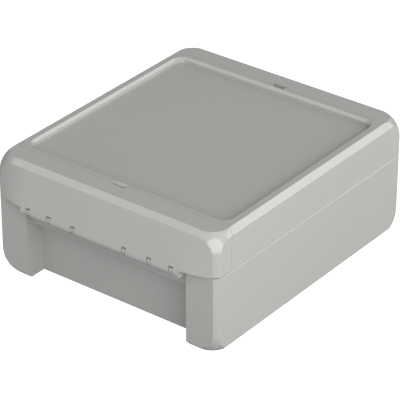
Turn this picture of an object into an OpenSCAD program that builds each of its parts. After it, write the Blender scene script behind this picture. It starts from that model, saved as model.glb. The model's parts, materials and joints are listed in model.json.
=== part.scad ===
// Plastic project box: a moulded wall enclosure with a hinged lid. Two long closure strips
// close the ends. Each strip turns on hooks of the base; its upper edge meets the lid, and a
// slot at that edge takes a screwdriver blade. The wall screws sit in wells under the strips,
// outside the sealed chamber. Millimetres, +Z up, the box stands on its floor at z = 0.

/* [Overall size] */
// outside width, from side face to side face
box_w = 125; // [100:1:180]
// outside depth, over the barrels of both closure strips
box_d = 151; // [125:1:220]
// outside height
box_h = 60; // [50:1:110]
// height of the lid, from the seam to the top face
lid_h = 20.35; // [18:0.05:30]

/* [Outer form] */
// radius of the balls that round the corners, and of the upright edges between them
ball_r = 13.3; // [10:0.1:16]
// distance of a ball's centre behind each face; less than the radius, so the faces keep their edges
ball_in = 10.5; // [8:0.1:15]
// leg of the flat chamfer round the floor
floor_c = 2.34; // [1:0.01:4]
// height of the flat chamfer round the top face
top_c = 3; // [1.5:0.05:5]
// inward run of that chamfer on the sides
top_in = 2.2; // [1:0.05:4]
// inward run of that chamfer on the closure strips
top_run = 1.65; // [1:0.05:4]
// lean of the base sides, degrees
base_lean = 0.76; // [0:0.01:2]
// lean of the lid sides, degrees
lid_lean = 0.6; // [0:0.1:3]
// small chamfer along the top edge of the base
lip_c = 0.4; // [0.2:0.05:1]
// gap between base and lid at the seam
seam_gap = 0.3; // [0.2:0.05:0.6]

/* [Base] */
// thickness of the chamber walls
wall_t = 2.8; // [2:0.1:4]
// thickness of the floor
floor_t = 3; // [2:0.1:5]
// corner radius of the chamber
chamber_r = 3; // [2:0.25:8]
// distance of the corner post faces behind the barrels
post_set = 4.8; // [3.5:0.1:8]
// width of each corner post, measured from the side face
post_w = 17.1; // [15:0.1:22]
// depth of the end recess between the posts
recess_d = 10.9; // [9.5:0.1:16]
// wall thickness of the corner posts
post_t = 2.5; // [2:0.1:4]
// height of the tongue that presses the seal
tongue_h = 2; // [1.2:0.1:3]
// thickness of the tongue
tongue_t = 1.2; // [0.8:0.1:1.6]

/* [Hinge beam on the base] */
// how far the beam stands out from the recess wall
beam_out = 7.1; // [5:0.1:8]
// height of the beam's lower edge below the seam
beam_low = 11.25; // [7:0.25:18]
// depth of the beam's top face below the seam
beam_top = 2.6; // [2:0.1:4]
// wall thickness of the beam
beam_t = 2.2; // [1.5:0.1:3]

/* [Closure hinge] */
// radius of the barrel along the lower edge of a strip
barrel_r = 2.65; // [2.4:0.05:4]
// depth of the hinge axis below the seam
axis_low = 1.25; // [0.5:0.05:2]
// end gap between barrel and corner post
barrel_gap = 0.9; // [0.4:0.1:3]
// width of the notches that take the hooks
notch_w = 2.75; // [2.2:0.05:5]
// height of the notch above the hinge axis
notch_h = 2.45; // [2.2:0.05:4]
// inner notch, as a share of half the barrel length
notch_1 = 0.325; // [0.2:0.005:0.4]
// middle notch, as a share of half the barrel length
notch_2 = 0.638; // [0.5:0.005:0.75]
// outer notch, as a share of half the barrel length
notch_3 = 0.91; // [0.85:0.005:0.93]
// radius of the thin neck that turns in a hook
neck_r = 1.2; // [0.9:0.05:1.6]
// radial running clearance between neck and hook
neck_clear = 0.06; // [0.03:0.01:0.1]
// free gap between a hook and its notch
hook_gap = 0.3; // [0.25:0.05:0.5]
// opening angle of the hook's mouth, degrees
mouth_a = 90; // [60:5:110]

/* [Closure strip] */
// distance of the strip's top front edge behind the barrels
strip_set = 5.55; // [4:0.05:8]
// distance of the strip's lower corner in front of the corner post
strip_out = 0.4; // [0.2:0.05:1]
// fullness of the strip's sweep from the barrels to the corner
strip_bow = 1.6; // [1.2:0.05:2.4]
// wall thickness of the strip
strip_t = 2.4; // [2:0.1:3]
// gap between the strip's lower edge and the base
strip_gap = 0.45; // [0.3:0.05:0.8]
// gap between the strip and the lid
joint_gap = 0.3; // [0.25:0.05:0.6]
// distance of the lid's end edge behind the barrels, at the top face
joint_set = 16.3; // [14:0.1:20]
// length of the catch rib, as a share of the barrel length
catch_l = 0.9; // [0.4:0.05:0.95]
// height of the catch rib under the top flange
catch_h = 5; // [3:0.25:7]
// length of the screwdriver slot
slot_l = 7.4; // [5:0.1:12]
// width of the slot on the strip side
slot_w = 1.5; // [1:0.1:3]
// width of the slot's slope on the lid side
slot_in = 1.4; // [0.8:0.1:2]

/* [Lid] */
// thickness of the lid under the label field
lid_t = 2.4; // [1.8:0.1:4]
// depth of the label field
field_d = 2.9; // [1.5:0.1:4]
// chamfer along the upper edge of the label field
field_c = 1.15; // [0.4:0.05:1.4]
// margin of the label field from the side faces
field_side = 5.5; // [4:0.1:12]
// margin of the label field from the lid's end edges
field_end = 2.3; // [1.8:0.1:12]
// corner radius of the label field
field_r = 6; // [3:0.25:12]
// height of the seal above the tongue's side of the groove
seal_h = 2.5; // [1.5:0.1:4]
// thickness of the rib inside the seal
rib_t = 1.5; // [1:0.1:2.5]

/* [Screw points] */
// radius of the wall screw holes
screw_r = 2.15; // [1.5:0.05:3]
// radius of the head seat in the wells
head_r = 3.9; // [3:0.1:4]
// depth of the head seat
head_d = 0.8; // [0.4:0.1:1.5]
// floor thickness of the wells
well_t = 4.2; // [3:0.1:6]
// radius of the circuit board bosses
boss_r = 3.4; // [2.5:0.1:5]
// height of the bosses above the floor
boss_h = 6; // [4:0.5:12]
// radius of the boss pilot holes
pilot_r = 1.4; // [1:0.05:2]
// inset of the bosses from the chamber walls
boss_in = 7.6; // [5:0.1:12]

/* [Colours] */
// base colour
base_col = [0.66, 0.66, 0.645];
// lid colour
lid_col = [0.66, 0.66, 0.645];
// closure strip colour
strip_col = [0.68, 0.68, 0.665];
// seal colour
seal_col = [0.13, 0.13, 0.13];

/* [Hidden] */

skin = 0.1;
over = 1;
hx = box_w / 2;
hy = box_d / 2;
seam_z = box_h - lid_h;
lid_z = seam_z + seam_gap;
strip_z = seam_z + strip_gap;

// hinge axis, the same on both ends
axis_y = hy - barrel_r;
axis_z = seam_z - axis_low;
bore_r = neck_r + neck_clear;
hook_r = notch_h - hook_gap;
hook_w = notch_w - 2 * hook_gap;

// base outline
post_y = hy - post_set;
well_y = post_y - recess_d;
recess_x = hx - post_w;
low_x = hx - (seam_z - floor_c) * tan(base_lean);
room_x = hx - wall_t;
room_y = well_y - wall_t;
tongue_x = room_x + tongue_t;
tongue_y = room_y + tongue_t;
beam_y = well_y + beam_out;
beam_lo_z = seam_z - beam_low;
beam_hi_z = seam_z - beam_top;

// barrel and notches
barrel_x = recess_x - barrel_gap;
notches = [notch_1 * barrel_x, notch_2 * barrel_x, notch_3 * barrel_x];

// upper outline
band_z = box_h - top_c;
side_x = hx - (band_z - seam_z) * tan(lid_lean);
top_x = side_x - top_in;
front_y = hy - strip_set;
top_y = front_y - top_run;
// the strip's front face runs down to touch the barrel
reach = sqrt(pow(axis_y - front_y, 2) + pow(band_z - axis_z, 2));
face_a = atan((axis_y - front_y) / (band_z - axis_z)) + asin(barrel_r / reach);
face_k = tan(face_a);
edge_y = front_y + (band_z - strip_z) * face_k;

// centres of the balls that round the corners
low_ball = [hx - ball_in, post_y - ball_in, ball_in];
top_ball = [hx - ball_in, post_y - ball_in, box_h - ball_in];
// width of the round upright edge, seen square to a face
corner_w = ball_in - sqrt(pow(ball_r, 2) - pow(ball_in, 2));

// the lid's end edges follow the swing about the far hinge axis
joint_y = hy - joint_set;
joint_r = sqrt(pow(axis_y + joint_y, 2) + pow(box_h - axis_z, 2));

// seal groove and label field
groove_x = tongue_x + 0.3;
groove_y = tongue_y + 0.3;
rib_x = room_x - 0.6;
rib_y = room_y - 0.6;
inner_x = rib_x - rib_t;
inner_y = rib_y - rib_t;
tongue_z = seam_z + tongue_h;
seal_z = tongue_z + 0.3;
ceil_z = box_h - field_d - lid_t;
field_x = hx - field_side;
field_y = joint_y - field_end;

// screw points
well_x0 = recess_x + post_t;
well_x1 = hx - wall_t + 0.2;
well_y1 = post_y - post_t;
screw_x = (well_x0 + well_x1) / 2;
screw_y = (well_y + well_y1) / 2;
boss_x = room_x - boss_in;
boss_y = room_y - boss_in;

// the four corners from one
module corners() {
    for (mx = [0, 1])
        for (my = [0, 1])
            mirror([mx, 0, 0])
                mirror([0, my, 0])
                    children();
}

// both ends from one
module ends() {
    for (my = [0, 1])
        mirror([0, my, 0])
            children();
}

// a block turned to run along X, its outline in Y and Z
module along_x(l, pts) {
    rotate([90, 0, 90])
        linear_extrude(l, center = true)
            polygon(pts);
}

// a block turned to run along Y, its outline in X and Z
module along_y(l, pts) {
    rotate([90, 0, 0])
        linear_extrude(l, center = true)
            polygon(pts);
}

// what a ball corner takes away beyond the centre c
module ball_corner(c, up) {
    corners()
        translate(c)
            difference() {
                translate([0, 0, up ? 0 : -2 * ball_r])
                    cube(2 * ball_r);
                sphere(r = ball_r, $fn = 128);
            }
}

// what the round upright edges take away between two heights
module upright_edges(z0, z1) {
    corners()
        translate([hx - ball_in, post_y - ball_in, z0])
            difference() {
                cube([2 * ball_r, 2 * ball_r, z1 - z0]);
                translate([0, 0, -over])
                    cylinder(r = ball_r, h = z1 - z0 + 2 * over, $fn = 128);
            }
}

// plan with round corners, arcs kept exact
module round_rect(x, y, r) {
    difference() {
        square([2 * x, 2 * y], center = true);
        corners()
            translate([x - r, y - r])
                difference() {
                    square([r + over, r + over]);
                    circle(r = r, $fn = 48);
                }
    }
}

module round_block(x, y, r, z0, z1) {
    translate([0, 0, z0])
        linear_extrude(z1 - z0)
            round_rect(x, y, r);
}

// outside of the base before its recesses
module base_form() {
    lo_x = low_x - floor_c;
    lo_y = post_y - floor_c;
    difference() {
        intersection() {
            along_y(box_d, [[-lo_x, 0], [lo_x, 0], [low_x, floor_c], [hx, seam_z - lip_c],
                            [hx - lip_c, seam_z], [lip_c - hx, seam_z], [-hx, seam_z - lip_c],
                            [-low_x, floor_c]]);
            along_x(box_w + over, [[-lo_y, 0], [lo_y, 0], [post_y, floor_c],
                                   [post_y, seam_z - lip_c], [post_y - lip_c, seam_z],
                                   [lip_c - post_y, seam_z], [-post_y, seam_z - lip_c],
                                   [-post_y, floor_c]]);
        }
        upright_edges(ball_in, seam_z + over);
        ball_corner(low_ball, false);
    }
}

// outside of lid and strips together
module upper_form() {
    rise = top_c / (front_y - top_y);
    out_y = hy + 3;
    difference() {
        intersection() {
            along_y(box_d + over, [[-hx, seam_z], [hx, seam_z], [side_x, band_z], [top_x, box_h],
                                   [-top_x, box_h], [-side_x, band_z]]);
            along_x(box_w + over, [[-out_y, seam_z], [out_y, seam_z],
                                   [out_y, band_z - (out_y - front_y) * rise], [top_y, box_h],
                                   [-top_y, box_h], [-out_y, band_z - (out_y - front_y) * rise]]);
            union() {
                hull() {
                    translate([0, 0, seam_z - 1])
                        linear_extrude(1 + strip_gap)
                            sweep_plan();
                    translate([0, 0, band_z])
                        linear_extrude(skin)
                            square([box_w + 2 * over, 2 * (front_y - skin * face_k)], center = true);
                }
                translate([0, 0, band_z])
                    linear_extrude(top_c + over)
                        square([box_w + 2 * over, 2 * front_y], center = true);
            }
        }
        upright_edges(seam_z - over, box_h - ball_in);
        ball_corner(top_ball, true);
    }
}

// lower edge of the strips, swept out from the corners over the barrels
module sweep_plan() {
    cx = hx - corner_w;
    cy = post_y + strip_out;
    half = [for (i = [0 : 10]) [barrel_x + (cx - barrel_x) * i / 10,
                                edge_y - (edge_y - cy) * pow(i / 10, strip_bow)]];
    ends()
        polygon(concat([[-hx - over, 0], [hx + over, 0], [hx + over, cy - 2 * strip_out]],
                       [for (i = [10 : -1 : 0]) half[i]],
                       [for (i = [0 : 10]) [-half[i][0], half[i][1]]],
                       [[-hx - over, cy - 2 * strip_out]]));
}

// drum swept by the lid about the far hinge axis
module swing(r) {
    translate([-hx - over, -axis_y, axis_z])
        rotate([0, 90, 0])
            cylinder(r = r, h = box_w + 2 * over, $fn = 360);
}

// hook that holds one neck of a closure strip
module hook(x) {
    translate([x - hook_w / 2, axis_y, axis_z])
        rotate([90, 0, 90])
            difference() {
                linear_extrude(hook_w)
                    union() {
                        circle(r = hook_r, $fn = 48);
                        translate([beam_y - axis_y - beam_t / 2, -hook_r])
                            square([axis_y - beam_y + beam_t / 2, hook_r - 0.1]);
                    }
                translate([0, 0, -over])
                    cylinder(r = bore_r, h = hook_w + 2 * over, $fn = 48);
                translate([0, 0, -over])
                    linear_extrude(hook_w + 2 * over)
                        polygon([[0, 0], [4 * cos(82 - mouth_a / 2), 4 * sin(82 - mouth_a / 2)],
                                 [4 * cos(82), 4 * sin(82)],
                                 [4 * cos(82 + mouth_a / 2), 4 * sin(82 + mouth_a / 2)]]);
            }
}

// beam across one recess, open below, with a rib behind each hook
module beam() {
    span = recess_x + post_t / 2;
    translate([-span, well_y - wall_t / 2, beam_hi_z - beam_t])
        cube([2 * span, beam_out + wall_t / 2, beam_t]);
    translate([-span, beam_y - beam_t, beam_lo_z])
        cube([2 * span, beam_t, beam_hi_z - beam_lo_z]);
    for (s = [-1, 1])
        for (x = notches)
            translate([s * x - hook_w / 2, well_y - wall_t / 2, beam_lo_z + 2])
                cube([hook_w, beam_out + wall_t / 2 - beam_t / 2, beam_hi_z - beam_lo_z - 3]);
    for (s = [-1, 1])
        for (x = notches)
            hook(s * x);
}

module base() {
    color(base_col)
        difference() {
            union() {
                difference() {
                    base_form();
                    ends()
                        translate([-recess_x, well_y, -over])
                            cube([2 * recess_x, hy, seam_z + 2 * over]);
                    round_block(room_x, room_y, chamber_r, floor_t, box_h);
                    corners()
                        translate([well_x0, well_y, well_t])
                            cube([well_x1 - well_x0, well_y1 - well_y, box_h]);
                }
                difference() {
                    round_block(tongue_x, tongue_y, chamber_r + tongue_t, seam_z - over, tongue_z);
                    round_block(room_x, room_y, chamber_r, seam_z - 2 * over, tongue_z + over);
                }
                ends()
                    beam();
                corners()
                    translate([boss_x, boss_y, floor_t - 0.5])
                        cylinder(r = boss_r, h = boss_h + 0.5, $fn = 48);
            }
            corners()
                translate([boss_x, boss_y, floor_t + 0.6])
                    cylinder(r = pilot_r, h = boss_h + over, $fn = 32);
            corners()
                translate([screw_x, screw_y, -over])
                    cylinder(r = screw_r, h = well_t + 2 * over, $fn = 40);
            corners()
                translate([screw_x, screw_y, well_t - head_d])
                    cylinder(r = head_r, h = head_d + over, $fn = 48);
        }
}

// label field, cut down from the top face, with a chamfered rim
module field() {
    x0 = field_x - field_c;
    y0 = field_y - field_c;
    r0 = field_r - field_c;
    z0 = box_h - field_c;
    z1 = box_h + over;
    e = field_c + over;
    round_block(x0, y0, r0, box_h - field_d, z0 + 0.01);
    along_y(2 * (y0 - r0), [[-x0 - e, z1], [x0 + e, z1], [x0, z0], [-x0, z0]]);
    along_x(2 * (x0 - r0), [[-y0 - e, z1], [y0 + e, z1], [y0, z0], [-y0, z0]]);
    corners()
        translate([x0 - r0, y0 - r0, z0])
            cylinder(r1 = r0, r2 = r0 + e, h = e, $fn = 64);
}

module lid() {
    color(lid_col)
        difference() {
            intersection() {
                upper_form();
                ends()
                    translate([-hx - over, -over, lid_z])
                        cube([box_w + 2 * over, hy, lid_h]);
                swing(joint_r);
                mirror([0, 1, 0])
                    swing(joint_r);
            }
            field();
            round_block(inner_x, inner_y, chamber_r, seam_z, ceil_z);
            round_block(rib_x, rib_y, chamber_r, seam_z, seam_z + 1.25);
            difference() {
                round_block(groove_x, groove_y, chamber_r + 1.5, seam_z, seal_z + seal_h);
                round_block(rib_x, rib_y, chamber_r, seam_z - over, box_h);
            }
            ends()
                translate([-slot_l / 2, 0, box_h])
                    rotate([90, 0, 90])
                        linear_extrude(slot_l)
                            polygon([[joint_y - slot_in, 0], [joint_y - slot_in, over],
                                     [joint_y + over, over], [joint_y + over, -1.9],
                                     [joint_y - 0.2, -1.9]]);
            ends()
                translate([-catch_l * barrel_x, joint_y - 1.6, band_z - catch_h + 1])
                    cube([2 * catch_l * barrel_x, 4, 1.8]);
        }
}

module gasket() {
    color(seal_col)
        difference() {
            round_block(groove_x - 0.05, groove_y - 0.05, chamber_r + 1.45, seal_z, seal_z + seal_h);
            round_block(rib_x + 0.05, rib_y + 0.05, chamber_r + 0.05, seal_z - over, box_h);
        }
}

// hollow inside a strip
module strip_room() {
    wall = strip_t * 1.05;
    in_lo = front_y + (band_z - strip_z + 2) * face_k - wall;
    in_hi = front_y - (strip_t - top_c) * face_k - wall;
    ex = side_x - strip_t;
    intersection() {
        translate([-ex, 0, 0])
            rotate([90, 0, 90])
                linear_extrude(2 * ex)
                    polygon([[0, strip_z - 2], [in_lo, strip_z - 2], [in_hi, box_h - strip_t],
                             [0, box_h - strip_t]]);
        translate([0, 0, strip_z - 2])
            linear_extrude(lid_h)
                polygon([[-ex, 0], [ex, 0], [ex, post_y - 8], [ex - 2.8, post_y - 4.5],
                         [ex - 6.5, post_y - 2], [barrel_x, edge_y - 3.2], [barrel_x - 3, hy],
                         [3 - barrel_x, hy], [-barrel_x, edge_y - 3.2], [6.5 - ex, post_y - 2],
                         [2.8 - ex, post_y - 4.5], [-ex, post_y - 8]]);
    }
}

// closure strip on the +Y end
module closure() {
    color(strip_col)
        difference() {
            union() {
                difference() {
                    union() {
                        difference() {
                            intersection() {
                                upper_form();
                                translate([-hx - over, 0, strip_z])
                                    cube([box_w + 2 * over, hy, lid_h]);
                            }
                            strip_room();
                            swing(joint_r + joint_gap);
                        }
                        translate([-barrel_x, axis_y, axis_z])
                            rotate([0, 90, 0])
                                cylinder(r = barrel_r, h = 2 * barrel_x, $fn = 64);
                        difference() {
                            translate([-catch_l * barrel_x, joint_y - 1, box_h - strip_t - catch_h])
                                cube([2 * catch_l * barrel_x, 3.4, catch_h + 0.5]);
                            swing(joint_r + joint_gap);
                        }
                    }
                    for (s = [-1, 1])
                        for (x = notches)
                            translate([s * x - notch_w / 2, axis_y - 5, axis_z - 5])
                                cube([notch_w, hy, 5 + notch_h]);
                }
                translate([-barrel_x, axis_y, axis_z])
                    rotate([0, 90, 0])
                        cylinder(r = neck_r, h = 2 * barrel_x, $fn = 48);
            }
            translate([-slot_l / 2, joint_y - over, box_h - strip_t - 1])
                cube([slot_l, over + slot_w, strip_t + 2 * over]);
        }
}

module front_closure() {
    mirror([0, 1, 0])
        closure();
}

module rear_closure() {
    closure();
}

base();
lid();
gasket();
front_closure();
rear_closure();
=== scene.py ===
# %% [markdown]
# # A grey project box in a studio
# The box is a small wall enclosure for electronics. It has five moulded pieces: a base, a lid with
# a sunk label field, a foamed seal in the lid's groove, and two closure strips. Each strip turns on
# hooks of the base and covers the wall screws.
#
# The solid pieces come ready made, at their real size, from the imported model. This lesson adds
# what a solid lacks: moulded edges that catch the light, a plastic with a fine grain and a gloss,
# and a studio to show it in. It starts by loading the pieces as a frame that never moves.

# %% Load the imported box
import json
import math

import bmesh
import bpy
from mathutils import Matrix, Vector

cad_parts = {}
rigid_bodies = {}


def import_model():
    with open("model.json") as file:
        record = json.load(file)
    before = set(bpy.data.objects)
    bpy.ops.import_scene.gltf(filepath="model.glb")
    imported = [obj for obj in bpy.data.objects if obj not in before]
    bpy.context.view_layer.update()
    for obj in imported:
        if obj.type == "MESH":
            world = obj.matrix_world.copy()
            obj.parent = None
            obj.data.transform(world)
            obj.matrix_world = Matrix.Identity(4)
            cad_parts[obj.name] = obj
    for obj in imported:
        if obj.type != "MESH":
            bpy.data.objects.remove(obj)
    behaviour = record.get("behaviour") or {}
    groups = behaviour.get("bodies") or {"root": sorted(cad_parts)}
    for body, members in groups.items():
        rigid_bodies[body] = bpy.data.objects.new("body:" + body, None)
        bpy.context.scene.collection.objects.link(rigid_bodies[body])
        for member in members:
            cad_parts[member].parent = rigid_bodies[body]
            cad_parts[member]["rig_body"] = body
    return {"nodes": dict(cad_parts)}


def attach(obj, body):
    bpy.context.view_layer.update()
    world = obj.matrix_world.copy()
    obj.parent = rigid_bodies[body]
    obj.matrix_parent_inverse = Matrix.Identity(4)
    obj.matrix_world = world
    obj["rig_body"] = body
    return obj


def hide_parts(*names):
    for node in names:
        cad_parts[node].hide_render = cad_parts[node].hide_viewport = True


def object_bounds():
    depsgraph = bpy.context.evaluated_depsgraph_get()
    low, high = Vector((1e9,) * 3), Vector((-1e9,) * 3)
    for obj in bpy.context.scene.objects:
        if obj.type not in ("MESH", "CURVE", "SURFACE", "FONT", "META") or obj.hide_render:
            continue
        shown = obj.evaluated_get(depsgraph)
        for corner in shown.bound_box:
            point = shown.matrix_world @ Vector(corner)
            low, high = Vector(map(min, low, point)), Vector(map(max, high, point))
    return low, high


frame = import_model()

MM = 0.001
solid_low, solid_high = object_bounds()
solid_size = solid_high - solid_low
print("solids, mm:", [round(side / MM, 1) for side in solid_size])

# %% [markdown]
# ## The camera
# A product is best shown from far away through a long lens, so that its edges stay almost parallel.
# The camera stands in front and to the right, about thirty degrees up. A direction is
# given as an azimuth, 0 at the front and 90 at the right side, and an elevation above the floor.

# %% A direction round the box
def toward(azimuth, elevation):
    """Unit vector from the box towards a place round it, angles in degrees."""
    turn = math.radians(azimuth)
    rise = math.radians(elevation)
    level = math.cos(rise)
    return Vector((math.sin(turn) * level, -math.cos(turn) * level, math.sin(rise)))


# %% Camera with a long lens
VIEW_AZIMUTH = 37.54
VIEW_ELEVATION = 29.95
VIEW_DISTANCE = 1.121
AIM_HEIGHT = 30 * MM
AIM_LEFT = 0.96 * MM
AIM_DOWN = 4.21 * MM
LENS = 219.4

back = toward(VIEW_AZIMUTH, VIEW_ELEVATION)
side = toward(VIEW_AZIMUTH + 90, 0)
rise = back.cross(side)
camera = bpy.data.objects.new("camera", bpy.data.cameras.new("camera"))
camera.data.lens = LENS
camera.data.clip_end = 20
aim = Vector((0, 0, AIM_HEIGHT)) - side * AIM_LEFT - rise * AIM_DOWN
camera.location = aim + back * VIEW_DISTANCE
camera.rotation_euler = back.to_track_quat("Z", "Y").to_euler()
bpy.context.scene.collection.objects.link(camera)
bpy.context.scene.camera = camera
bpy.context.scene.view_settings.view_transform = "Standard"
print("camera, mm:", [round(c / MM) for c in camera.location])

# %% [markdown]
# ## Light
# Two big round softboxes stand on the right. The front one shines past the camera, and the other
# one shines on the right side from behind. Both are far larger than the box, so they leave soft
# shading on flat faces and a clear round highlight on each glossy ball corner. Three weaker panels
# lift the faces that these two miss. Two of the panels leave no mirror image in the gloss. A weak
# sky fills the shadows.

# %% Round softboxes
SOFTBOX_AWAY = 2.4
SOFTBOX_HALF_ANGLE = 30.5
PANEL_HALF_ANGLE = 25


def softbox(name, azimuth, elevation, half_angle, watts, colour=(1, 1, 1), mirrored=True):
    """Round area light that is seen from the box as a disc of that half angle."""
    light = bpy.data.lights.new(name, "AREA")
    light.shape = "DISK"
    light.size = 2 * SOFTBOX_AWAY * math.tan(math.radians(half_angle))
    light.energy = watts
    light.color = colour
    lamp = bpy.data.objects.new(name, light)
    outward = toward(azimuth, elevation)
    lamp.location = Vector((0, 0, AIM_HEIGHT)) + outward * SOFTBOX_AWAY
    lamp.rotation_euler = outward.to_track_quat("Z", "Y").to_euler()
    lamp.visible_camera = False
    lamp.visible_glossy = mirrored
    bpy.context.scene.collection.objects.link(lamp)
    print(name, "diameter", round(light.size, 2), "m")


WARM_WHITE = (0.985, 1, 0.965)
softbox("front softbox", 43, 18, SOFTBOX_HALF_ANGLE, 68)
softbox("side softbox", 131, 11, SOFTBOX_HALF_ANGLE, 47, WARM_WHITE)
softbox("right panel", 80, 22, PANEL_HALF_ANGLE, 32, WARM_WHITE, mirrored=False)
softbox("left panel", -35, 33, 21, 11)
softbox("high panel", 43, 55, PANEL_HALF_ANGLE, 9.5, mirrored=False)

# %% Weak white sky
SKY = 0.37
world = bpy.data.worlds.new("studio air")
world.use_nodes = True
air = world.node_tree
air.nodes.clear()
seen = air.nodes.new("ShaderNodeBackground")
seen.inputs["Strength"].default_value = 1
felt = air.nodes.new("ShaderNodeBackground")
felt.inputs["Strength"].default_value = SKY
path = air.nodes.new("ShaderNodeLightPath")
pick = air.nodes.new("ShaderNodeMixShader")
out = air.nodes.new("ShaderNodeOutputWorld")
air.links.new(path.outputs["Is Camera Ray"], pick.inputs["Fac"])
air.links.new(felt.outputs["Background"], pick.inputs[1])
air.links.new(seen.outputs["Background"], pick.inputs[2])
air.links.new(pick.outputs["Shader"], out.inputs["Surface"])
for shade in (seen, felt):
    shade.inputs["Color"].default_value = (1, 1, 1, 1)
bpy.context.scene.world = world
print("sky strength", SKY)

# %% [markdown]
# ## Floor
# The floor is a plain white round board. It shows white, keeps a breath of shadow under the box and
# is clear from below, so that the underside of the box can be looked at too.

# %% White board
BOARD_RADIUS = 0.6
BOARD_SEGMENTS = 96
BOARD_DROP = 0.2 * MM
mesh = bpy.data.meshes.new("board")
bm = bmesh.new()
bmesh.ops.create_circle(bm, cap_ends=True, segments=BOARD_SEGMENTS, radius=BOARD_RADIUS)
bmesh.ops.translate(bm, verts=bm.verts, vec=(0, 0, solid_low.z - BOARD_DROP))
bm.to_mesh(mesh)
bm.free()
board = bpy.data.objects.new("board", mesh)
bpy.context.scene.collection.objects.link(board)
print("board radius", BOARD_RADIUS, "m")

# %% White paint of the board
GLOW = 1.0
BOARD_TONE = (0.3, 0.3, 0.3, 1)
paint = bpy.data.materials.new("white board")
paint.use_nodes = True
tree = paint.node_tree
tree.nodes.clear()
matt = tree.nodes.new("ShaderNodeBsdfDiffuse")
matt.inputs["Color"].default_value = BOARD_TONE
glow = tree.nodes.new("ShaderNodeEmission")
glow.inputs["Strength"].default_value = GLOW
both = tree.nodes.new("ShaderNodeAddShader")
clear = tree.nodes.new("ShaderNodeBsdfTransparent")
facing = tree.nodes.new("ShaderNodeNewGeometry")
path = tree.nodes.new("ShaderNodeLightPath")
camera_pick = tree.nodes.new("ShaderNodeMixShader")
below = tree.nodes.new("ShaderNodeMixShader")
out = tree.nodes.new("ShaderNodeOutputMaterial")
tree.links.new(matt.outputs[0], both.inputs[0])
tree.links.new(glow.outputs[0], both.inputs[1])
tree.links.new(path.outputs["Is Camera Ray"], camera_pick.inputs["Fac"])
tree.links.new(matt.outputs[0], camera_pick.inputs[1])
tree.links.new(both.outputs[0], camera_pick.inputs[2])
tree.links.new(facing.outputs["Backfacing"], below.inputs["Fac"])
tree.links.new(camera_pick.outputs[0], below.inputs[1])
tree.links.new(clear.outputs[0], below.inputs[2])
tree.links.new(below.outputs[0], out.inputs["Surface"])
board.data.materials.append(paint)

# %% [markdown]
# Seen from below, the underside would be black, because the box stands on the board. Thin glowing
# sheets that lie between the two show it. They end short of the recesses, so nothing else is lit.

# %% Glowing sheets under the floor of the box and under its four feet
UNDER_GLOW = 1.0
UNDER_DROP = 0.1 * MM
UNDER_FLOOR = (57 * MM, 58.5 * MM)
UNDER_FOOT = (6.5 * MM, 3.5 * MM)
FOOT_PLACE = (53 * MM, 64 * MM)
mesh = bpy.data.meshes.new("under glow")
bm = bmesh.new()


def sheet(x, y, half):
    """Adds one flat sheet, given its middle and its half sides."""
    place = Matrix.Translation((x, y, solid_low.z - UNDER_DROP))
    bmesh.ops.create_grid(bm, x_segments=1, y_segments=1, size=1,
                          matrix=place @ Matrix.Diagonal((half[0], half[1], 1, 1)))


sheet(0, 0, UNDER_FLOOR)
for side_sign in (-1, 1):
    for end_sign in (-1, 1):
        sheet(side_sign * FOOT_PLACE[0], end_sign * FOOT_PLACE[1], UNDER_FOOT)
bm.to_mesh(mesh)
bm.free()
sheets = bpy.data.objects.new("under glow", mesh)
bpy.context.scene.collection.objects.link(sheets)
sheets.visible_camera = False
sheets.visible_glossy = False
under_paint = bpy.data.materials.new("under glow")
under_paint.use_nodes = True
tree = under_paint.node_tree
tree.nodes.clear()
glow = tree.nodes.new("ShaderNodeEmission")
glow.inputs["Strength"].default_value = UNDER_GLOW
out = tree.nodes.new("ShaderNodeOutputMaterial")
tree.links.new(glow.outputs[0], out.inputs["Surface"])
mesh.materials.append(under_paint)
print("sheets under the box:", len(mesh.polygons))

# %% [markdown]
# ## Looks shared by the pieces
# The box is moulded in one grey plastic. Three small node groups hold what the mouldings share: a
# slow drift of tone, a grain that is too fine to see as dots, and the dull touch of handling.

# %% Helpers for node groups
def new_group(name, outputs):
    """Empty shader group with these outputs, as pairs of a name and a socket kind."""
    group = bpy.data.node_groups.new(name, "ShaderNodeTree")
    for label, kind in outputs:
        group.interface.new_socket(label, in_out="OUTPUT", socket_type="NodeSocket" + kind)
    place = group.nodes.new("ShaderNodeTexCoord").outputs["Object"]
    return group, place, group.nodes.new("NodeGroupOutput")


def noise(tree, place, scale, detail=2.0, rough=0.5):
    """Noise field with this many waves per metre."""
    node = tree.nodes.new("ShaderNodeTexNoise")
    node.inputs["Scale"].default_value = scale
    node.inputs["Detail"].default_value = detail
    node.inputs["Roughness"].default_value = rough
    tree.links.new(place, node.inputs["Vector"])
    return node.outputs["Fac"]


def spread(tree, value, low, high, to_low, to_high):
    """Maps a value from one range to another and stops at the ends."""
    node = tree.nodes.new("ShaderNodeMapRange")
    ends = {"From Min": low, "From Max": high, "To Min": to_low, "To Max": to_high}
    for label, number in ends.items():
        node.inputs[label].default_value = number
    tree.links.new(value, node.inputs["Value"])
    return node.outputs["Result"]


# %% Slow drift of tone
drift_group, place, end = new_group("tone drift", [("Tone", "Float")])
slow = noise(drift_group, place, 14.0, 3.0)
drift_group.links.new(spread(drift_group, slow, 0.3, 0.7, 0.985, 1.015), end.inputs["Tone"])

# %% Fine moulded grain
grain_group, place, end = new_group("moulded grain", [("Height", "Float")])
fine = noise(grain_group, place, 2600.0, 2.0)
grain_group.links.new(fine, end.inputs["Height"])

# %% Touch of handling
touch_group, place, end = new_group("handling", [("Dull", "Float")])
rub = noise(touch_group, place, 55.0, 5.0, 0.62)
touch_group.links.new(spread(touch_group, rub, 0.52, 0.75, 0.0, 1.0), end.inputs["Dull"])
print("groups:", [g.name for g in bpy.data.node_groups])

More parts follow.
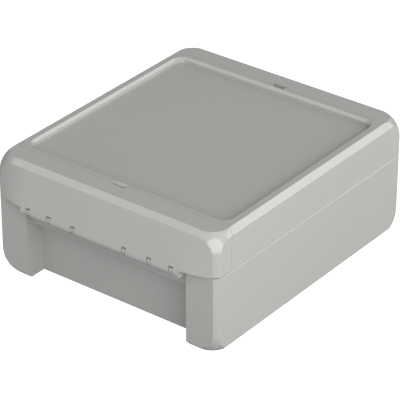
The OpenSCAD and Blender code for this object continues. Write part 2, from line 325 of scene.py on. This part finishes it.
# %% [markdown]
# ## Plastic and seal
# The plastic scatters light in its body and has a thin gloss on top, so the softboxes show as clean
# discs on the round corners. The seal is a dark closed foam with pores.

# %% Helpers to put a group to work
def use_group(material, group):
    """Puts a shared group into a material."""
    node = material.node_tree.nodes.new("ShaderNodeGroup")
    node.node_tree = group
    return node


def bump(material, height, distance):
    """Normal that a relief of this height and depth gives."""
    node = material.node_tree.nodes.new("ShaderNodeBump")
    node.inputs["Distance"].default_value = distance
    material.node_tree.links.new(height, node.inputs["Height"])
    return node.outputs["Normal"]


# %% Grey plastic
GLOSS = 0.02
GLOSS_IOR = 1.5
BODY_ROUGH, BODY_WORN = 0.5, 0.62
GRAIN_HEIGHT = 0.0012 * MM


def plastic(name, tone):
    """Moulded plastic of this tone, given as linear red, green and blue."""
    material = bpy.data.materials.new(name)
    material.use_nodes = True
    tree = material.node_tree
    shader = tree.nodes["Principled BSDF"]
    shader.inputs["Specular IOR Level"].default_value = 0.0
    shader.inputs["Coat Weight"].default_value = 1.0
    shader.inputs["Coat IOR"].default_value = GLOSS_IOR
    shader.inputs["Coat Roughness"].default_value = GLOSS
    tint = tree.nodes.new("ShaderNodeVectorMath")
    tint.operation = "SCALE"
    tint.inputs[0].default_value = tone
    tree.links.new(use_group(material, drift_group).outputs["Tone"], tint.inputs["Scale"])
    tree.links.new(tint.outputs["Vector"], shader.inputs["Base Color"])
    dull = use_group(material, touch_group).outputs["Dull"]
    tree.links.new(spread(tree, dull, 0.0, 1.0, BODY_ROUGH, BODY_WORN), shader.inputs["Roughness"])
    relief = bump(material, use_group(material, grain_group).outputs["Height"], GRAIN_HEIGHT)
    tree.links.new(relief, shader.inputs["Normal"])
    tree.links.new(relief, shader.inputs["Coat Normal"])
    return material


shell_plastic = plastic("shell plastic", (0.3, 0.3, 0.291))
strip_plastic = plastic("strip plastic", (0.305, 0.305, 0.296))

# %% Foamed seal
PORES = 900.0
PORE_DEPTH = 0.08 * MM
FOAM_TONE = (0.03, 0.03, 0.032)
foam = bpy.data.materials.new("seal foam")
foam.use_nodes = True
tree = foam.node_tree
shader = tree.nodes["Principled BSDF"]
coords = tree.nodes.new("ShaderNodeTexCoord").outputs["Object"]
cells = tree.nodes.new("ShaderNodeTexVoronoi")
cells.inputs["Scale"].default_value = PORES
tree.links.new(coords, cells.inputs["Vector"])
pore = spread(tree, cells.outputs["Distance"], 0.1, 0.6, 0.0, 1.0)
shade = tree.nodes.new("ShaderNodeVectorMath")
shade.operation = "SCALE"
shade.inputs[0].default_value = FOAM_TONE
tree.links.new(spread(tree, noise(tree, coords, 160.0), 0.3, 0.7, 0.8, 1.2), shade.inputs["Scale"])
tree.links.new(shade.outputs["Vector"], shader.inputs["Base Color"])
tree.links.new(spread(tree, pore, 0.0, 1.0, 0.7, 0.9), shader.inputs["Roughness"])
tree.links.new(bump(foam, pore, PORE_DEPTH), shader.inputs["Normal"])
print("materials:", [m.name for m in bpy.data.materials])

# %% [markdown]
# ## Moulded skins
# A solid has knife edges. A moulding has small rounds that catch a line of light along its joints.
# Each piece gets a skin: its own surface, welded, with those rounds. Each skin stands for its solid
# and rides on the same body. A displacement could not do this, because the edges are real forms.
#
# One band runs round the whole box between its flat faces: along the top edges as a chamfer, down
# the upright edges, and over the corners as a ball. It has a crease against every flat face but
# none along its own length. So its shading is worked out from where a point lies, not from facets.

# %% Where the ball corners sit
BALL_RADIUS = 13.3 * MM
BALL_DEPTH = 10.5 * MM
POST_BACK = 4.8 * MM
centre_x = solid_high.x - BALL_DEPTH
centre_y = solid_high.y - POST_BACK - BALL_DEPTH
centre_high = solid_high.z - BALL_DEPTH
centre_low = solid_low.z + BALL_DEPTH


def outward(point):
    """How far a point lies beyond the box of ball centres, along each axis."""
    beyond_x = math.copysign(max(abs(point.x) - centre_x, 0), point.x)
    beyond_y = math.copysign(max(abs(point.y) - centre_y, 0), point.y)
    beyond_z = max(point.z - centre_high, 0) + min(point.z - centre_low, 0)
    return Vector((beyond_x, beyond_y, beyond_z))


centres = (centre_x, centre_y, centre_low, centre_high)
print("ball centres, mm:", [round(c / MM, 1) for c in centres])

# %% Which faces belong to the band
BEYOND = 0.3 * MM
BAND_NEAR, BAND_FAR = 0.9 * BALL_RADIUS, 1.02 * BALL_RADIUS
BAND_TURN = math.radians(24)
FLAT_X, FLAT_Y, FLAT_Z = 0.98, 0.93, 0.98


def in_band(middle, normal):
    """Tells whether a face with this middle and normal belongs to the band."""
    away = outward(middle)
    axes = sum(abs(part) > BEYOND for part in away)
    if axes < 2 or not BAND_NEAR < away.length < BAND_FAR:
        return False
    flat = max(abs(normal.x) / FLAT_X, abs(normal.y) / FLAT_Y, abs(normal.z) / FLAT_Z)
    return flat < 1 and away.angle(normal) < BAND_TURN


# %% Normals of the band
LEAD_IN = 7 * MM


def ease(share):
    """Runs from 0 to 1 and starts and ends gently."""
    share = min(max(share, 0), 1)
    return share * share * (3 - 2 * share)


def band_normal(point, normal):
    """Normal of the band at a point: the flat one on a long edge, the ball's near a corner."""
    short_x = max(centre_x - abs(point.x), 0) / LEAD_IN
    short_y = max(centre_y - abs(point.y), 0) / LEAD_IN
    flat = ease(short_x + short_y) if point.z > centre_high else 0
    return outward(point).normalized().lerp(normal, flat).normalized()


# %% [markdown]
# The front of a strip leans back. Towards its ends it also turns a little to the side and stands
# up, and it keeps one smooth shade on the way. Its solid does this in long flat triangles, so here
# too the normals come from the place. Turning the normals keeps the outline as it is.

# %% Which faces are the front of a strip, and their normals
FACE_FOOT = 40.1 * MM
FACE_LEAN, END_LEAN = 17.1, 4
END_TURN = 13
TURN_FROM = 40 * MM
FRONT_FACING = 0.93
front_from = centre_y + 0.7 * BALL_RADIUS


def in_front(middle, normal):
    """Tells whether a face with this middle and normal is the leaning front of a strip."""
    return (abs(normal.y) > FRONT_FACING and middle.y * normal.y > 0
            and middle.z > FACE_FOOT and abs(middle.y) > front_from)


def front_normal(point):
    """Normal of a strip's front, which turns and rises slowly towards the ends."""
    far = ease((abs(point.x) - TURN_FROM) / (solid_high.x - TURN_FROM))
    lean = math.radians(FACE_LEAN + (END_LEAN - FACE_LEAN) * far)
    turn = math.radians(END_TURN * far)
    return Vector((math.copysign(math.sin(turn) * math.cos(lean), point.x),
                   math.copysign(math.cos(turn) * math.cos(lean), point.y), math.sin(lean)))


print("a strip's front leans", FACE_LEAN, "degrees, and", END_LEAN, "at its ends")

# %% [markdown]
# The front of a strip meets its ball corner in a line that first follows the ball and then runs
# straight down. The shading keeps to this line: the ball's normals lie on one side of it, and the
# front's on the other.

# %% The line where the front of a strip meets its corner
CORNER_LINE = [(53 * MM, 57.1 * MM), (56.1 * MM, 55.85 * MM), (58.7 * MM, 54.45 * MM),
               (59.9 * MM, 51.5 * MM), (59.93 * MM, 39 * MM)]
CORNER_FROM = 49 * MM
CORNER_FACING = 0.3
line_parts = list(zip(CORNER_LINE, CORNER_LINE[1:]))


def past_line(point):
    """Tells whether a point lies on the corner's side of the line."""
    for (x_high, z_high), (x_low, z_low) in line_parts:
        if point.z >= z_low:
            share = min(max((z_high - point.z) / (z_high - z_low), 0), 1)
            return abs(point.x) > x_high + (x_low - x_high) * share
    return abs(point.x) > CORNER_LINE[-1][0]


def at_corner(middle, normal):
    """Tells whether a face belongs to the front or the upright edge of a strip, near its corner."""
    return (abs(middle.x) > CORNER_FROM and abs(middle.y) > centre_y
            and abs(normal.y) > CORNER_FACING
            and CORNER_LINE[-1][1] < middle.z < CORNER_LINE[0][1]
            and (in_band(middle, normal) or in_front(middle, normal)))


print("corner line:", len(line_parts), "parts")

# %% [markdown]
# Shading can only turn where there are points to carry it. So the long faces are cut across before
# each corner: the top chamfers, the fronts of the strips, and both along the corner line. A cut
# by a plane adds points and changes no form.

# %% Cuts across long faces
CUT_NEAR = 1e-7
LEAD_STEPS = 6
TURN_STEPS = 9


def cut(bm, wanted, place, direction):
    """Cuts the faces that pass a test with a plane."""
    faces = [f for f in bm.faces if wanted(f.calc_center_median(), f.normal)]
    edges = {e for f in faces for e in f.edges}
    verts = {v for f in faces for v in f.verts}
    bmesh.ops.bisect_plane(bm, geom=[*faces, *edges, *verts], dist=CUT_NEAR,
                           plane_co=place, plane_no=direction)


def on_top(middle, normal):
    """Tells whether a face belongs to the top part of the band."""
    return middle.z > centre_high and in_band(middle, normal)


def cut_all(bm):
    """Cuts the top chamfers, then the fronts of strips, then their corners."""
    for step in range(LEAD_STEPS + 1):
        back_off = LEAD_IN * step / LEAD_STEPS
        for sign in (-1, 1):
            cut(bm, on_top, (sign * (centre_x - back_off), 0, 0), (1, 0, 0))
            cut(bm, on_top, (0, sign * (centre_y - back_off), 0), (0, 1, 0))
    for step in range(TURN_STEPS + 1):
        place = TURN_FROM + (solid_high.x - TURN_FROM) * step / TURN_STEPS
        for sign in (-1, 1):
            cut(bm, in_front, (sign * place, 0, 0), (1, 0, 0))
    for (x_high, z_high), (x_low, z_low) in line_parts:
        for sign in (-1, 1):
            cut(bm, at_corner, (sign * x_high, 0, z_high),
                (sign * (z_low - z_high), 0, x_high - x_low))


# %% [markdown]
# A moulded edge has a round of about 0.2 mm. The bevel goes on every edge that turns sharply, and
# weaker edges only keep a crease. The skin stays inside the box of the solids.

# %% Rounds and creases
ROUND_FROM = math.radians(50)
EDGE_ROUND = 0.2 * MM
SHARP = 35
CREASE = 6


def round_edges(bm):
    """Rounds the sharply turning edges of a mesh."""
    hard = [e for e in bm.edges if len(e.link_faces) == 2 and e.calc_face_angle(0) > ROUND_FROM]
    bmesh.ops.bevel(bm, geom=hard, offset=EDGE_ROUND, offset_type="OFFSET", segments=2,
                    profile=0.5, affect="EDGES", clamp_overlap=True, material=-1)
    bm.normal_update()


def mark_creases(bm):
    """Shades a mesh smooth, apart from sharp edges and the rim of the band."""
    banded = {f: in_band(f.calc_center_median(), f.normal) for f in bm.faces}
    for face in bm.faces:
        face.smooth = True
    for edge in bm.edges:
        angle = math.degrees(edge.calc_face_angle(0))
        mixed = len({banded[f] for f in edge.link_faces}) == 2
        edge.smooth = angle < SHARP and not (mixed and angle > CREASE)


def keep_inside(bm):
    """Keeps a mesh inside the box of the solids."""
    for vert in bm.verts:
        for axis in range(3):
            vert.co[axis] = min(max(vert.co[axis], solid_low[axis]), solid_high[axis])


# %% Even normals, and the ones that follow the place
def even_normals(piece):
    """Gives a piece the mesh that the weighted normals make of it."""
    even = piece.modifiers.new("even shading", "WEIGHTED_NORMAL")
    even.keep_sharp = True
    depsgraph = bpy.context.evaluated_depsgraph_get()
    shaded = bpy.data.meshes.new_from_object(piece.evaluated_get(depsgraph))
    piece.modifiers.clear()
    piece.data = shaded


def turn_normals(mesh):
    """Sets the normals of the band and of the strips' fronts, and counts their faces."""
    normals = [corner.vector.copy() for corner in mesh.corner_normals]
    turned = 0
    for face in mesh.polygons:
        cornered = at_corner(face.center, face.normal)
        banded = past_line(face.center) if cornered else in_band(face.center, face.normal)
        if not (cornered or banded or in_front(face.center, face.normal)):
            continue
        turned += 1
        for loop in face.loop_indices:
            point = mesh.vertices[mesh.loops[loop].vertex_index].co
            normals[loop] = band_normal(point, face.normal) if banded else front_normal(point)
    mesh.normals_split_custom_set(normals)
    return turned


# %% Skin of one piece
WELD = 0.002 * MM
FLAT_WITHIN = math.radians(0.3)


def skin(name, material, shape=None):
    """Welded, edge-rounded and evenly shaded copy that stands for the solid with that name."""
    node = frame["nodes"][name]
    mesh = bpy.data.meshes.new(name + "_skin")
    bm = bmesh.new()
    bm.from_mesh(node.data)
    bmesh.ops.remove_doubles(bm, verts=bm.verts, dist=WELD)
    if shape:
        shape(bm)
    bmesh.ops.dissolve_limit(bm, angle_limit=FLAT_WITHIN, verts=bm.verts, edges=bm.edges)
    cut_all(bm)
    round_edges(bm)
    mark_creases(bm)
    keep_inside(bm)
    bm.to_mesh(mesh)
    bm.free()
    mesh.materials.append(material)
    piece = bpy.data.objects.new(name + "_skin", mesh)
    bpy.context.scene.collection.objects.link(piece)
    even_normals(piece)
    turned = turn_normals(piece.data)
    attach(piece, node["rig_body"])
    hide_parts(name)
    print(name, "skin:", len(piece.data.polygons), "faces,", turned, "with turned normals")


# %% [markdown]
# The solids keep a running gap of 0.3 mm between the lid and a strip, so that nothing touches when
# the strip swings. On the real box that joint is nearly shut. Both of its faces are arcs round the
# opposite hinge, so a small move along the arm from that hinge closes the gap evenly.

# %% The joint between the lid and a strip closes up
HINGE_Y = 72.85 * MM
HINGE_Z = 38.4 * MM
LID_REACH = 133.8 * MM
STRIP_REACH = 134.1 * MM
REACH_NEAR = 0.03 * MM
CLOSE_UP = 0.1 * MM


def close_up(bm, reach, grow):
    """Moves the face that lies this far from the opposite hinge a little into the joint."""
    for vert in bm.verts:
        arm_y = vert.co.y + math.copysign(HINGE_Y, vert.co.y)
        arm = math.hypot(arm_y, vert.co.z - HINGE_Z)
        if abs(arm - reach) < REACH_NEAR:
            longer = (reach + grow) / arm
            vert.co.y += arm_y * (longer - 1)
            vert.co.z = min(HINGE_Z + (vert.co.z - HINGE_Z) * longer, solid_high.z)


def shape_lid(bm):
    """Closes the lid's side of both joints."""
    close_up(bm, LID_REACH, CLOSE_UP)


# %% [markdown]
# The face of a strip ends in its barrel without a ledge, and in its ball corners without a step.
# Both are a matter of a few points that move by a fraction of a millimetre.

# %% The face of a strip runs into its barrel and its corners
TANGENT = 39.15 * MM
BARREL_END = 44.6 * MM
FACE_OUT = 75.16 * MM
FOOT_ABOVE = 0.01 * MM
FOOT_BEHIND = 0.5 * MM
STEP_NEAR = 0.05 * MM
STEP_MOST = 0.6 * MM


def drop_step(bm):
    """Takes the step away between a strip's face and its corner."""
    corner_y = centre_y + BALL_RADIUS
    for vert in bm.verts:
        over = abs(vert.co.y) - corner_y
        near = abs(abs(vert.co.x) - centre_x) < STEP_NEAR
        if near and 0 < over < STEP_MOST and vert.co.z > FACE_FOOT - STEP_NEAR:
            vert.co.y = math.copysign(corner_y, vert.co.y)


def run_down(bm):
    """Lets the face of a strip run down until it touches the barrel."""
    slope = math.tan(math.radians(FACE_LEAN))
    for vert in bm.verts:
        x, y, z = abs(vert.co.x), abs(vert.co.y), vert.co.z
        if TANGENT < z < FACE_FOOT + FOOT_ABOVE and y > FACE_OUT - FOOT_BEHIND and x < BARREL_END:
            vert.co.y = math.copysign(FACE_OUT + (FACE_FOOT - z) * slope, vert.co.y)


def shape_strip(bm):
    """Closes the strip's side of the joint, and smooths the foot of its face."""
    close_up(bm, STRIP_REACH, -CLOSE_UP)
    drop_step(bm)
    run_down(bm)
    bmesh.ops.remove_doubles(bm, verts=bm.verts, dist=WELD)
    bmesh.ops.dissolve_degenerate(bm, dist=WELD, edges=bm.edges)


# %% Skins of all five pieces
skin("base", shell_plastic)
skin("lid", shell_plastic, shape_lid)
skin("front_closure", strip_plastic, shape_strip)
skin("rear_closure", strip_plastic, shape_strip)
skin("gasket", foam)
